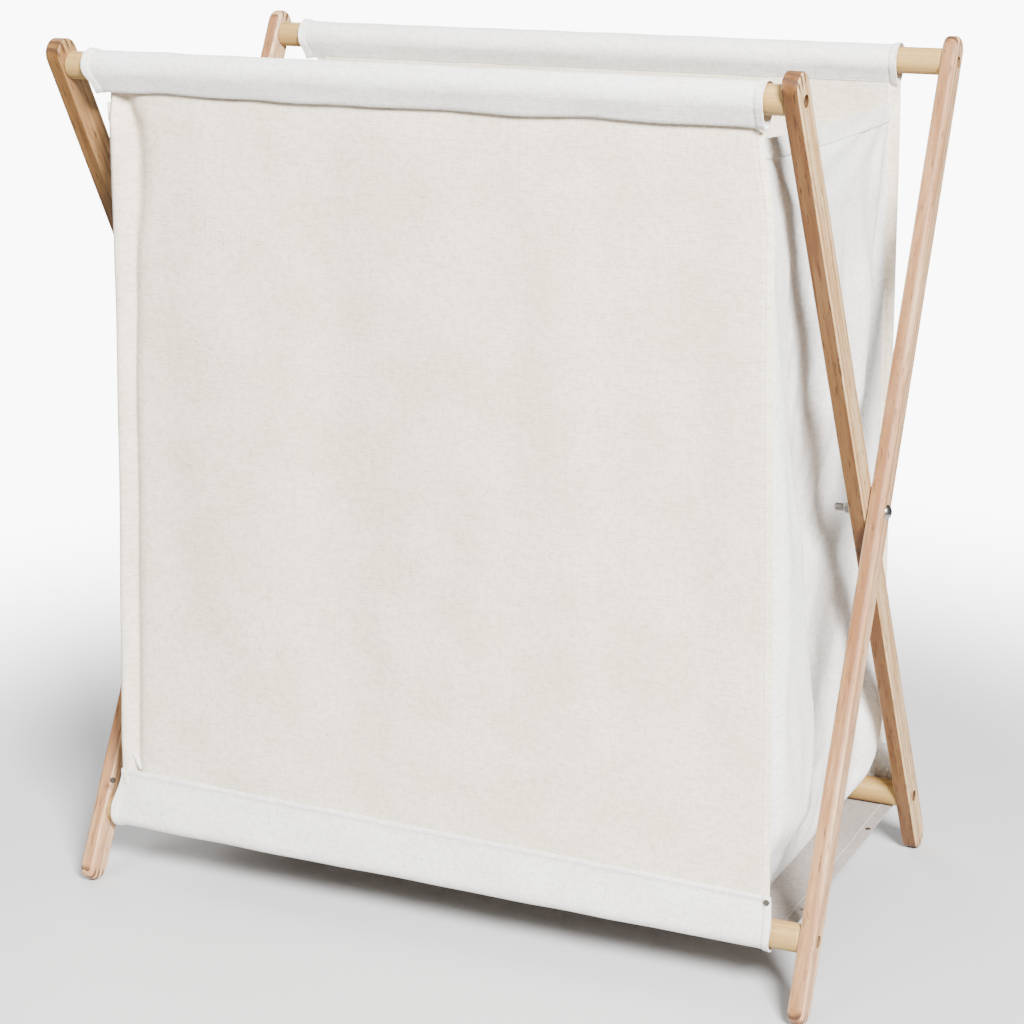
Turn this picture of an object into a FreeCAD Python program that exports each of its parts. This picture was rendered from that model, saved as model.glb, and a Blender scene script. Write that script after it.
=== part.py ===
"""Folding cross-leg laundry hamper: two wooden leg frames on a pivot bolt each side, with a canvas bag on their rails.

+X runs along the rails, -Y is the front, +Z is up. The origin is on the floor under the middle.
The inner frame leans from front-top to rear-bottom, the outer frame from rear-top to front-bottom.
"""
import math
import os

import FreeCAD
import Part

V = FreeCAD.Vector
X_AXIS, Y_AXIS, Z_AXIS = V(1, 0, 0), V(0, 1, 0), V(0, 0, 1)

# wooden frames
LEG_LENGTH = 722.0
LEG_WIDTH = 22.0
LEG_THICK = 12.0
LEG_LEAN = 26.0              # degrees from upright, frame fully open
PIVOT_FROM_TOP = 362.0
RAIL_RADIUS = 10.0
RAIL_END_ROUND = 1.5
TOP_RAIL_FROM_END = 20.0
BOTTOM_RAIL_FROM_END = 57.0
INNER_FACE = 273.0           # inner leg's face towards the bag
LEG_GAP = 1.0                # filled by the spacer washer
INNER_LEG_EASE = 1.5
OUTER_LEG_EASE = 4.0
OUTER_FACE = INNER_FACE + LEG_THICK + LEG_GAP

# rail screws
SCREW_RADIUS = 2.0
SCREW_HEAD_RADIUS = 3.9
SCREW_HEAD_HEIGHT = 2.6
SCREW_LENGTH = 30.0
SCREW_POINT = 4.0
DRIVE_RADIUS = 1.6
DRIVE_DEPTH = 1.5
SINK_RADIUS = 4.3
SINK_DEPTH = 5.0
PILOT_CLEARANCE = 0.05

# pivot hardware
BOLT_RADIUS = 2.5
BOLT_CLEARANCE = 0.05
BOLT_HEAD_RADIUS = 5.5
BOLT_HEAD_HEIGHT = 3.4
BOLT_STICKS_OUT = 14.0
FACE_PLAY = 0.1
SPACER_RADIUS = 6.0
NUT_WASHER_RADIUS = 5.0
NUT_WASHER_THICK = 1.0
NUT_ACROSS_CORNERS = 9.2
NUT_THICK = 4.7
HEX_DRIVE_CORNERS = 3.4
HEX_DRIVE_DEPTH = 1.8

# canvas bag
CLOTH = 1.2
RAIL_PLAY = 0.4              # between a rail and the cloth round it
SEAM_BELOW_RAIL = 17.0
FRONT_SLEEVE_X = (-258.0, 256.0)
REAR_SLEEVE_X = (-264.0, 253.0)
FRONT_BAND_X = (-279.0, 267.0)
REAR_BAND_X = (-266.0, 266.0)
BAND_TOP = 88.0
PANEL_RIGHT = 257.0
FRONT_PANEL_LEFT_TOP = -246.0
FRONT_PANEL_LEFT_BOTTOM = -268.0
REAR_PANEL_LEFT = -257.0
GUSSET_X = 249.0
GUSSET_FOOT_X = 229.0
GUSSET_SLOPE_TOP = 76.0
GUSSET_TOP = 603.0
GUSSET_HEM = 13.5
GUSSET_TO_PANEL = 2.0
GUSSET_FOOT_Y = 97.0
BASE_HALF_WIDTH = 268.0
LINING_FOOT_Y = 112.0
STUD_RADIUS = 2.2
STUD_HEIGHT = 1.1
BASE_STUD_INSET = 3.5
BASE_STUD_Y = (-72.0, 79.0)
BAND_STUD_INSET = 3.0
BAND_STUD_BELOW_TOP = 7.0
BAND_STUD_HEIGHT = 1.5       # tall enough to stand clear of the band's turned-in end
STUD_CLEARANCE = 0.05
BAND_STUD_CLEARANCE = 0.25

LEAN = math.radians(LEG_LEAN)
FOOT_TO_PIVOT = LEG_LENGTH - PIVOT_FROM_TOP - LEG_WIDTH / 2
PIVOT_Z = LEG_WIDTH / 2 + FOOT_TO_PIVOT * math.cos(LEAN)
TOP_REACH = PIVOT_FROM_TOP - TOP_RAIL_FROM_END
BOTTOM_REACH = LEG_LENGTH - PIVOT_FROM_TOP - BOTTOM_RAIL_FROM_END
TOP_RAIL = (TOP_REACH * math.sin(LEAN), PIVOT_Z + TOP_REACH * math.cos(LEAN))
BOTTOM_RAIL = (BOTTOM_REACH * math.sin(LEAN), PIVOT_Z - BOTTOM_REACH * math.cos(LEAN))
CLOTH_BORE = RAIL_RADIUS + RAIL_PLAY
BASE_TOP = BOTTOM_RAIL[1] - CLOTH_BORE


def rod(radius, x_from, x_to, y, z):
    """Round bar along X."""
    bar = Part.makeCylinder(radius, abs(x_to - x_from), V(min(x_from, x_to), y, z), X_AXIS)
    return bar


def hexagon_bar(corners, x_from, x_to, y, z):
    """Six-sided bar along X, given its width across the corners."""
    turns = [math.radians(60 * i) for i in range(7)]
    points = [V(x_from, y + corners / 2 * math.sin(a), z + corners / 2 * math.cos(a)) for a in turns]
    return Part.Face(Part.makePolygon(points)).extrude(V(x_to - x_from, 0, 0))


def side_profile(points, x_from, x_to):
    """Closed outline in Y and Z, pulled out along X."""
    outline = [V(x_from, y, z) for y, z in points]
    return Part.Face(Part.makePolygon(outline + outline[:1])).extrude(V(x_to - x_from, 0, 0))


def plain_leg(x_from, ease):
    """Upright leg with half-round ends, its pivot at the origin of Y and Z, before it leans."""
    half = LEG_WIDTH / 2
    top, foot = PIVOT_FROM_TOP - half, -FOOT_TO_PIVOT
    edges = [
        Part.LineSegment(V(x_from, -half, foot), V(x_from, -half, top)).toShape(),
        Part.Arc(V(x_from, -half, top), V(x_from, 0, top + half), V(x_from, half, top)).toShape(),
        Part.LineSegment(V(x_from, half, top), V(x_from, half, foot)).toShape(),
        Part.Arc(V(x_from, half, foot), V(x_from, 0, foot - half), V(x_from, -half, foot)).toShape(),
    ]
    leg = Part.Face(Part.Wire(edges)).extrude(V(LEG_THICK, 0, 0))
    on_face = [e for e in leg.Edges if e.BoundBox.XLength < 0.01]
    return leg.makeFillet(ease, on_face)


def leg(side, inner_face, ease, lean):
    """One leg: eased, drilled for the pivot bolt and the two rail screws, and leant over."""
    x_from = inner_face if side > 0 else -inner_face - LEG_THICK
    outer_face = side * (inner_face + LEG_THICK)
    made = plain_leg(x_from, ease)
    made = made.cut(rod(BOLT_RADIUS + BOLT_CLEARANCE, x_from, x_from + LEG_THICK, 0, 0))
    for z in (TOP_REACH, -BOTTOM_REACH):
        made = made.cut(rod(SCREW_RADIUS + PILOT_CLEARANCE, x_from, x_from + LEG_THICK, 0, z))
        made = made.cut(rod(SINK_RADIUS, outer_face, outer_face - side * SINK_DEPTH, 0, z))
    made.rotate(V(0, 0, 0), X_AXIS, lean)
    made.translate(V(0, 0, PIVOT_Z))
    return made


def rail(half_length, y, z):
    """Dowel rail with softly rounded ends and a screw hole in each."""
    bar = rod(RAIL_RADIUS, -half_length, half_length, y, z)
    rims = [e for e in bar.Edges if isinstance(e.Curve, Part.Circle)]
    bar = bar.makeFillet(RAIL_END_ROUND, rims)
    reach = SCREW_LENGTH - (LEG_THICK - SINK_DEPTH) + PILOT_CLEARANCE
    for side in (-1, 1):
        bar = bar.cut(rod(SCREW_RADIUS + PILOT_CLEARANCE, side * half_length, side * (half_length - reach), y, z))
    return bar


def rail_screw(side, inner_face, y, z):
    """Countersunk-in-a-bore wood screw, head out, with a round drive recess."""
    seat = side * (inner_face + LEG_THICK - SINK_DEPTH)
    head_top = seat + side * SCREW_HEAD_HEIGHT
    tip = seat - side * SCREW_LENGTH
    shoulder = tip + side * SCREW_POINT
    screw = rod(SCREW_HEAD_RADIUS, seat, head_top, y, z).fuse(rod(SCREW_RADIUS, shoulder, seat, y, z))
    point = Part.makeCone(SCREW_RADIUS, SCREW_RADIUS / 4, SCREW_POINT, V(shoulder, y, z), V(-side, 0, 0))
    recess = rod(DRIVE_RADIUS, head_top - side * DRIVE_DEPTH, head_top, y, z)
    return screw.fuse(point).cut(recess).removeSplitter()


def rail_screws(inner_face, top_y, bottom_y):
    """The four screws that hold one frame's two rails."""
    places = [(top_y, TOP_RAIL[1]), (bottom_y, BOTTOM_RAIL[1])]
    return Part.makeCompound([rail_screw(side, inner_face, y, z) for side in (-1, 1) for y, z in places])


def pivot_bolt(side):
    """Domed furniture bolt with a six-sided key recess, through both legs of one side."""
    seat = OUTER_FACE + LEG_THICK + FACE_PLAY
    ball = (BOLT_HEAD_RADIUS ** 2 + BOLT_HEAD_HEIGHT ** 2) / (2 * BOLT_HEAD_HEIGHT)
    dome = Part.makeSphere(ball, V(seat + BOLT_HEAD_HEIGHT - ball, 0, PIVOT_Z))
    head = dome.common(rod(BOLT_HEAD_RADIUS, seat, seat + BOLT_HEAD_HEIGHT + 1, 0, PIVOT_Z))
    recess = hexagon_bar(HEX_DRIVE_CORNERS, seat + BOLT_HEAD_HEIGHT - HEX_DRIVE_DEPTH, seat + BOLT_HEAD_HEIGHT + 1,
                         0, PIVOT_Z)
    shank = rod(BOLT_RADIUS, INNER_FACE - BOLT_STICKS_OUT, seat, 0, PIVOT_Z)
    bolt = head.fuse(shank).cut(recess).removeSplitter()
    return bolt if side > 0 else bolt.mirror(V(0, 0, 0), X_AXIS)


def ring(radius, x_from, x_to, side):
    """Washer round the pivot bolt."""
    washer = rod(radius, side * x_from, side * x_to, 0, PIVOT_Z)
    return washer.cut(rod(BOLT_RADIUS, side * x_from, side * x_to, 0, PIVOT_Z))


def pivot_nut(side):
    """Six-sided lock nut with a rounded collar, on the bolt's inner end."""
    start = INNER_FACE - FACE_PLAY - NUT_WASHER_THICK
    flats = hexagon_bar(NUT_ACROSS_CORNERS, side * (start - NUT_THICK * 0.7), side * start, 0, PIVOT_Z)
    collar = rod(NUT_ACROSS_CORNERS * 0.42, side * (start - NUT_THICK), side * (start - NUT_THICK * 0.7), 0, PIVOT_Z)
    return flats.fuse(collar).cut(rod(BOLT_RADIUS, side * (start - NUT_THICK), side * start, 0, PIVOT_Z))


def sleeve(span, y, z):
    """Top channel of the bag: a loop of cloth round a rail, closed by a seam below it."""
    def drop(radius, low):
        touch = math.acos(radius / (SEAM_BELOW_RAIL + low))
        left, right = -math.pi / 2 - touch, -math.pi / 2 + touch
        ends = [V(span[0], y + radius * math.cos(a), z + radius * math.sin(a)) for a in (left, right)]
        foot = V(span[0], y, z - SEAM_BELOW_RAIL - low)
        edges = [
            Part.Arc(ends[1], V(span[0], y, z + radius), ends[0]).toShape(),
            Part.LineSegment(ends[0], foot).toShape(),
            Part.LineSegment(foot, ends[1]).toShape(),
        ]
        return Part.Face(Part.Wire(edges)).extrude(V(span[1] - span[0], 0, 0))
    return drop(CLOTH_BORE + CLOTH, 0).cut(drop(CLOTH_BORE, -CLOTH * 1.6))


def band(span, facing):
    """Bottom channel's outer cloth: from under the rail, round its outside and up to the panel's seam."""
    y, z = BOTTOM_RAIL
    out, inn = CLOTH_BORE + CLOTH, CLOTH_BORE
    foot = Part.makeCylinder(out, span[1] - span[0], V(span[0], facing * y, z), X_AXIS)
    foot = foot.cut(Part.makeCylinder(inn, span[1] - span[0], V(span[0], facing * y, z), X_AXIS))
    quarter = side_profile([(facing * y, z), (facing * (y + out + 1), z), (facing * (y + out + 1), z - out - 1),
                            (facing * y, z - out - 1)], *span)
    wall = side_profile([(facing * (y + inn), z), (facing * (y + out), z), (facing * (y + out), BAND_TOP),
                         (facing * (y + inn), BAND_TOP)], *span)
    return foot.common(quarter).fuse(wall).removeSplitter()


PANEL_TOP = (TOP_RAIL[0], TOP_RAIL[1] - SEAM_BELOW_RAIL - 0.5)
PANEL_FOOT = (BOTTOM_RAIL[0] + CLOTH_BORE, BAND_TOP + 0.3)


def panel(facing, left_top, left_bottom):
    """Flat cloth panel between the top sleeve's seam and the bottom band's seam."""
    (top_y, top_z), (foot_y, foot_z) = PANEL_TOP, PANEL_FOOT
    corners = [V(left_bottom, facing * foot_y, foot_z), V(PANEL_RIGHT, facing * foot_y, foot_z),
               V(PANEL_RIGHT, facing * top_y, top_z), V(left_top, facing * top_y, top_z)]
    return Part.Face(Part.makePolygon(corners + corners[:1])).extrude(V(0, facing * CLOTH, 0))


def lining(facing):
    """Bottom channel's inner cloth: from the panel's seam down inside the rail to the base."""
    foot, top = (LINING_FOOT_Y, BASE_TOP + 0.3), (PANEL_FOOT[0] - 0.3, BAND_TOP)
    knee = (LINING_FOOT_Y + 4.0, BAND_TOP - 16.0)
    points = [foot, knee, top, (top[0] - CLOTH, top[1]), (knee[0] - CLOTH, knee[1]), (foot[0] - CLOTH, foot[1])]
    return side_profile([(facing * y, z) for y, z in points], -GUSSET_FOOT_X, GUSSET_FOOT_X)


def gusset_outline(low, high, spread):
    """Side outline of a gusset between two heights, clear of the panels and of the bottom rails."""
    (top_y, top_z), (foot_y, foot_z) = PANEL_TOP, PANEL_FOOT

    def edge(z):
        return foot_y + (top_y - foot_y) * (z - foot_z) / (top_z - foot_z) - GUSSET_TO_PANEL + spread
    if low > GUSSET_SLOPE_TOP:
        return [(-edge(low), low), (edge(low), low), (edge(high), high), (-edge(high), high)]
    return [(-GUSSET_FOOT_Y, low), (GUSSET_FOOT_Y, low), (edge(GUSSET_SLOPE_TOP), GUSSET_SLOPE_TOP),
            (edge(high), high), (-edge(high), high), (-edge(GUSSET_SLOPE_TOP), GUSSET_SLOPE_TOP)]


def gusset(side):
    """Side cloth of the bag: upright, with a foot that runs in to the base."""
    low, high = BASE_TOP + 0.3, GUSSET_TOP
    section = [(GUSSET_FOOT_X, low), (GUSSET_FOOT_X + CLOTH, low), (GUSSET_X + CLOTH, GUSSET_SLOPE_TOP),
               (GUSSET_X + CLOTH, high), (GUSSET_X, high), (GUSSET_X, GUSSET_SLOPE_TOP)]
    outline = [V(side * x, -TOP_RAIL[0], z) for x, z in section]
    wall = Part.Face(Part.makePolygon(outline + outline[:1])).extrude(V(0, 2 * TOP_RAIL[0], 0))
    return wall.common(side_profile(gusset_outline(low, high, 0), -LEG_LENGTH, LEG_LENGTH))


def gusset_hem(side):
    """Turned-over hem along a gusset's top, outside the cloth."""
    start = side * (GUSSET_X + CLOTH + 0.1)
    return side_profile(gusset_outline(GUSSET_TOP - GUSSET_HEM, GUSSET_TOP, -1.0), start, start + side * CLOTH)


def base_sling():
    """Flat base cloth, slung under both bottom rails."""
    half = BOTTOM_RAIL[0] - 0.2
    return Part.makeBox(2 * BASE_HALF_WIDTH, 2 * half, CLOTH, V(-BASE_HALF_WIDTH, -half, BASE_TOP - CLOTH))


def base_studs():
    """Small press studs near the base cloth's side edges."""
    x = BASE_HALF_WIDTH - BASE_STUD_INSET
    return Part.makeCompound([
        Part.makeCylinder(STUD_RADIUS, STUD_HEIGHT, V(side * x, y, BASE_TOP + STUD_CLEARANCE))
        for side in (-1, 1) for y in BASE_STUD_Y])


def band_studs(span, facing):
    """Small press studs at the two upper corners of a bottom band."""
    y = facing * (BOTTOM_RAIL[0] + CLOTH_BORE + CLOTH + BAND_STUD_CLEARANCE)
    return Part.makeCompound([
        Part.makeCylinder(STUD_RADIUS, BAND_STUD_HEIGHT, V(x, y, BAND_TOP - BAND_STUD_BELOW_TOP), V(0, facing, 0))
        for x in (span[0] + BAND_STUD_INSET, span[1] - BAND_STUD_INSET)])


def build():
    """Every node of the hamper, by name."""
    nodes = {
        "front_top_rail": rail(INNER_FACE, -TOP_RAIL[0], TOP_RAIL[1]),
        "rear_bottom_rail": rail(INNER_FACE, BOTTOM_RAIL[0], BOTTOM_RAIL[1]),
        "rear_top_rail": rail(OUTER_FACE, TOP_RAIL[0], TOP_RAIL[1]),
        "front_bottom_rail": rail(OUTER_FACE, -BOTTOM_RAIL[0], BOTTOM_RAIL[1]),
        "inner_rail_screws": rail_screws(INNER_FACE, -TOP_RAIL[0], BOTTOM_RAIL[0]),
        "outer_rail_screws": rail_screws(OUTER_FACE, TOP_RAIL[0], -BOTTOM_RAIL[0]),
        "front_sleeve": sleeve(FRONT_SLEEVE_X, -TOP_RAIL[0], TOP_RAIL[1]),
        "rear_sleeve": sleeve(REAR_SLEEVE_X, TOP_RAIL[0], TOP_RAIL[1]),
        "front_panel": panel(-1, FRONT_PANEL_LEFT_TOP, FRONT_PANEL_LEFT_BOTTOM),
        "rear_panel": panel(1, REAR_PANEL_LEFT, REAR_PANEL_LEFT),
        "front_band": band(FRONT_BAND_X, -1),
        "rear_band": band(REAR_BAND_X, 1),
        "front_lining": lining(-1),
        "rear_lining": lining(1),
        "base_sling": base_sling(),
        "base_studs": base_studs(),
        "front_band_studs": band_studs(FRONT_BAND_X, -1),
        "rear_band_studs": band_studs(REAR_BAND_X, 1),
    }
    for name, side in (("left", -1), ("right", 1)):
        washer_at = INNER_FACE - FACE_PLAY
        nodes[f"inner_leg_{name}"] = leg(side, INNER_FACE, INNER_LEG_EASE, LEG_LEAN)
        nodes[f"outer_leg_{name}"] = leg(side, OUTER_FACE, OUTER_LEG_EASE, -LEG_LEAN)
        nodes[f"pivot_bolt_{name}"] = pivot_bolt(side)
        nodes[f"pivot_nut_{name}"] = pivot_nut(side)
        nodes[f"nut_washer_{name}"] = ring(NUT_WASHER_RADIUS, washer_at - NUT_WASHER_THICK, washer_at, side)
        nodes[f"spacer_washer_{name}"] = ring(SPACER_RADIUS, INNER_FACE + LEG_THICK + FACE_PLAY,
                                              OUTER_FACE - FACE_PLAY, side)
        nodes[f"gusset_{name}"] = gusset(side)
        nodes[f"gusset_hem_{name}"] = gusset_hem(side)
    return nodes


os.makedirs("parts", exist_ok=True)
for node, shape in build().items():
    shape.exportStep(f"parts/{node}.step")
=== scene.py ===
"""Folding cross-leg laundry hamper: wooden frames on two pivot bolts, and a canvas bag on their rails."""
import math

import bpy
from mathutils import Matrix, Vector, noise


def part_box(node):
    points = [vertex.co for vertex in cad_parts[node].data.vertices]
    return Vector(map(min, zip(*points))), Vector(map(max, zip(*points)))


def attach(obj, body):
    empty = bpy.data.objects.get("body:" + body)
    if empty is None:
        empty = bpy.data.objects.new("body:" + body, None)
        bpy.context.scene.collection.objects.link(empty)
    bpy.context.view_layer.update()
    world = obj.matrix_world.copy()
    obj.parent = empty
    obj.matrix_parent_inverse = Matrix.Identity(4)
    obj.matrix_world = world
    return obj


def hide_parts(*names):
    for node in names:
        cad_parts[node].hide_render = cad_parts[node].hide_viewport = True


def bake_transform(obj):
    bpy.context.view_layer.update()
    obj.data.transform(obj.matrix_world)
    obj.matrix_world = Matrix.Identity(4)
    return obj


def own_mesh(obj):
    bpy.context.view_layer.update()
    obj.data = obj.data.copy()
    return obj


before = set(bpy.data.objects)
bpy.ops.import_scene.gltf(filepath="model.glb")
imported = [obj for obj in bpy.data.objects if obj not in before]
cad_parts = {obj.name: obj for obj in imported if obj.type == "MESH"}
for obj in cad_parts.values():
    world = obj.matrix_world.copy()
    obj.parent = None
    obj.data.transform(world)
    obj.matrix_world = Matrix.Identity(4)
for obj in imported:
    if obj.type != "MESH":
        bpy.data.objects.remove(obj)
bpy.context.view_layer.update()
bpy.ops.object.select_all(action="DESELECT")


# ---- Camera: stands off the front right corner, a little above the rails.
CAMERA_PLACE = Vector((0.76789, -1.5093, 0.78848))
YAW, PITCH, ROLL = (math.radians(a) for a in (22.09, 13.08, 0.38))
FOCAL_LENGTH, SENSOR = 80.64, 36.0
SHIFT = (-0.1865, -0.1312)

forward = Vector((-math.sin(YAW) * math.cos(PITCH), math.cos(YAW) * math.cos(PITCH), -math.sin(PITCH)))
level_right = Vector((math.cos(YAW), math.sin(YAW), 0))
level_up = level_right.cross(forward)
right = math.cos(ROLL) * level_right + math.sin(ROLL) * level_up
up = math.cos(ROLL) * level_up - math.sin(ROLL) * level_right
bpy.ops.object.camera_add()
camera = bpy.context.object
turn = Matrix((right, up, -forward)).transposed().to_4x4()
camera.matrix_world = Matrix.Translation(CAMERA_PLACE) @ turn
camera.data.lens, camera.data.sensor_width = FOCAL_LENGTH, SENSOR
camera.data.shift_x, camera.data.shift_y = SHIFT
camera.data.clip_start, camera.data.clip_end = 0.05, 50
bpy.context.scene.camera = camera


# ---- Finishes: a short way to write shader nodes, used by the floor and by every material.
class Socket:
    """A shader value. A sum on it adds Math nodes to its finish."""

    def __init__(self, finish, link):
        self.finish, self.link = finish, link

    def _sum(self, operation, first, second):
        return self.finish.node("ShaderNodeMath", {"operation": operation}, {0: first, 1: second})

    def __add__(self, other):
        return self._sum("ADD", self, other)

    def __radd__(self, other):
        return self._sum("ADD", other, self)

    def __sub__(self, other):
        return self._sum("SUBTRACT", self, other)

    def __rsub__(self, other):
        return self._sum("SUBTRACT", other, self)

    def __mul__(self, other):
        return self._sum("MULTIPLY", self, other)

    def __rmul__(self, other):
        return self._sum("MULTIPLY", other, self)


class Finish:
    """A material and its nodes."""

    def __init__(self, name, roughness, constants={}):
        self.material = bpy.data.materials.new(name)
        self.material.use_nodes = True
        self.tree = self.material.node_tree
        self.shader = self.tree.nodes["Principled BSDF"]
        self.shader.inputs["Roughness"].default_value = roughness
        for socket, value in constants.items():
            self.shader.inputs[socket].default_value = value

    def node(self, kind, settings, values, result=0):
        """Adds a node: its settings first, then a value or a link for each named socket."""
        made = self.tree.nodes.new(kind)
        for setting, value in settings.items():
            if setting == "stops":
                ramp = made.color_ramp.elements
                while len(ramp) < len(value):
                    ramp.new(1)
                for stop, (place, colour) in zip(ramp, value):
                    stop.position, stop.color = place, (*colour, 1)
            else:
                setattr(made, setting, value)
        for socket, value in values.items():
            if isinstance(value, Socket):
                self.tree.links.new(value.link, made.inputs[socket])
            else:
                made.inputs[socket].default_value = value
        return Socket(self, made.outputs[result])

    def place(self):
        return self.node("ShaderNodeTexCoord", {}, {}, "Object")

    def moved(self, vector, location=(0, 0, 0), rotation=(0, 0, 0), scale=(1, 1, 1)):
        values = {"Vector": vector, "Location": location, "Rotation": rotation, "Scale": scale}
        return self.node("ShaderNodeMapping", {}, values)

    def cloud(self, vector, scale, detail=2.0, roughness=0.5):
        """Soft noise from 0 to 1."""
        values = {"Vector": vector, "Scale": scale, "Detail": detail, "Roughness": roughness}
        return self.node("ShaderNodeTexNoise", {}, values, "Fac")

    def step(self, value, low, high):
        """0 below low, 1 above high, smooth between."""
        return self.node("ShaderNodeMapRange", {"interpolation_type": "SMOOTHSTEP"},
                         {"Value": value, "From Min": low, "From Max": high}, "Result")

    def ramp(self, value, stops):
        return self.node("ShaderNodeValToRGB", {"stops": stops}, {"Fac": value}, "Color")

    def mix(self, amount, first, second, blend="MIX"):
        """Colour mix."""
        first, second = (c if isinstance(c, Socket) else (*c, 1) for c in (first, second))
        return self.node("ShaderNodeMix", {"data_type": "RGBA", "blend_type": blend},
                         {0: amount, 6: first, 7: second}, 2)

    def use(self, **feeds):
        """Plugs what varies over the surface into the shader."""
        for socket, value in feeds.items():
            self.tree.links.new(value.link, self.shader.inputs[socket.replace("_", " ").title()])

    def bump(self, height, strength, distance):
        values = {"Height": height, "Strength": strength, "Distance": distance}
        self.use(normal=self.node("ShaderNodeBump", {}, values, "Normal"))


# ---- Studio: a plain pale floor that fades into a white room, with a soft key light at the right,
# a front fill, a weak light above and one behind at the left.
FLOOR_FADE = (0.45, 1.2)
bpy.ops.mesh.primitive_circle_add(vertices=96, radius=FLOOR_FADE[1] + 0.1, fill_type="NGON",
                                  location=(0, 0, -0.0005))
floor = bpy.context.object
floor.name = "floor"
floor_finish = Finish("floor_paint", 0.9, {"Base Color": (0.52, 0.52, 0.52, 1)})
floor_reach = floor_finish.node("ShaderNodeVectorMath", {"operation": "LENGTH"},
                                {0: floor_finish.place()}, "Value")
floor_finish.use(alpha=1 - floor_finish.step(floor_reach, *FLOOR_FADE))
floor.data.materials.append(floor_finish.material)

LIGHTS = {  # place, size, watts
    "key_light": ((1.85, -1.9, 2.05), 0.8, 500),
    "fill_light": ((-0.9, -2.4, 2.3), 1.2, 60),
    "top_light": ((-0.4, 0.0, 2.6), 1.2, 20),
    "back_light": ((-2.2, 1.9, 1.6), 1.8, 90),
}
for light_name, (place, size, watts) in LIGHTS.items():
    bpy.ops.object.light_add(type="AREA", location=place)
    lamp = bpy.context.object
    lamp.name = light_name
    lamp.data.shape, lamp.data.size, lamp.data.energy = "SQUARE", size, watts
    aim = Vector((0, 0, 0.33)) - Vector(place)
    lamp.rotation_euler = aim.to_track_quat("-Z", "Y").to_euler()
room = bpy.data.worlds.new("room")
room.use_nodes = True
room.node_tree.nodes["Background"].inputs["Color"].default_value = (1, 1, 1, 1)
room_light = room.node_tree.nodes["Background"]
room_light.inputs["Strength"].default_value = 0.12
white_wall = room.node_tree.nodes.new("ShaderNodeBackground")
white_wall.inputs["Strength"].default_value = 12.0
seen = room.node_tree.nodes.new("ShaderNodeLightPath")
room_mix = room.node_tree.nodes.new("ShaderNodeMixShader")
room.node_tree.links.new(seen.outputs["Is Camera Ray"], room_mix.inputs[0])
room.node_tree.links.new(room_light.outputs[0], room_mix.inputs[1])
room.node_tree.links.new(white_wall.outputs[0], room_mix.inputs[2])
room.node_tree.links.new(room_mix.outputs[0], room.node_tree.nodes["World Output"].inputs["Surface"])
bpy.context.scene.world = room


# ---- Legs: four pine bars with half-round ends, leant 26 degrees, the grain running down each bar.
# The faces show reddish streaks and dark flecks; the two outer legs are pinker than the two inner ones.
# Painted shade darkens the inner left leg's tones and the narrow edges of every leg.
LEG_LEAN = math.radians(26)
DARK_GRAIN, BORE_SHADOW = (0.20, 0.085, 0.035), (0.035, 0.018, 0.008)
BORE_EDGE = (0.0041, 0.0046)  # a screw bore darkens the wood up to this radius and fades out at the second
END_BAND = (0.011, 0.006)  # end grain starts this far from a bar's end and is full at the second distance
PIVOT_Z = (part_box("pivot_bolt_right")[0].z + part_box("pivot_bolt_right")[1].z) / 2


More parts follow.
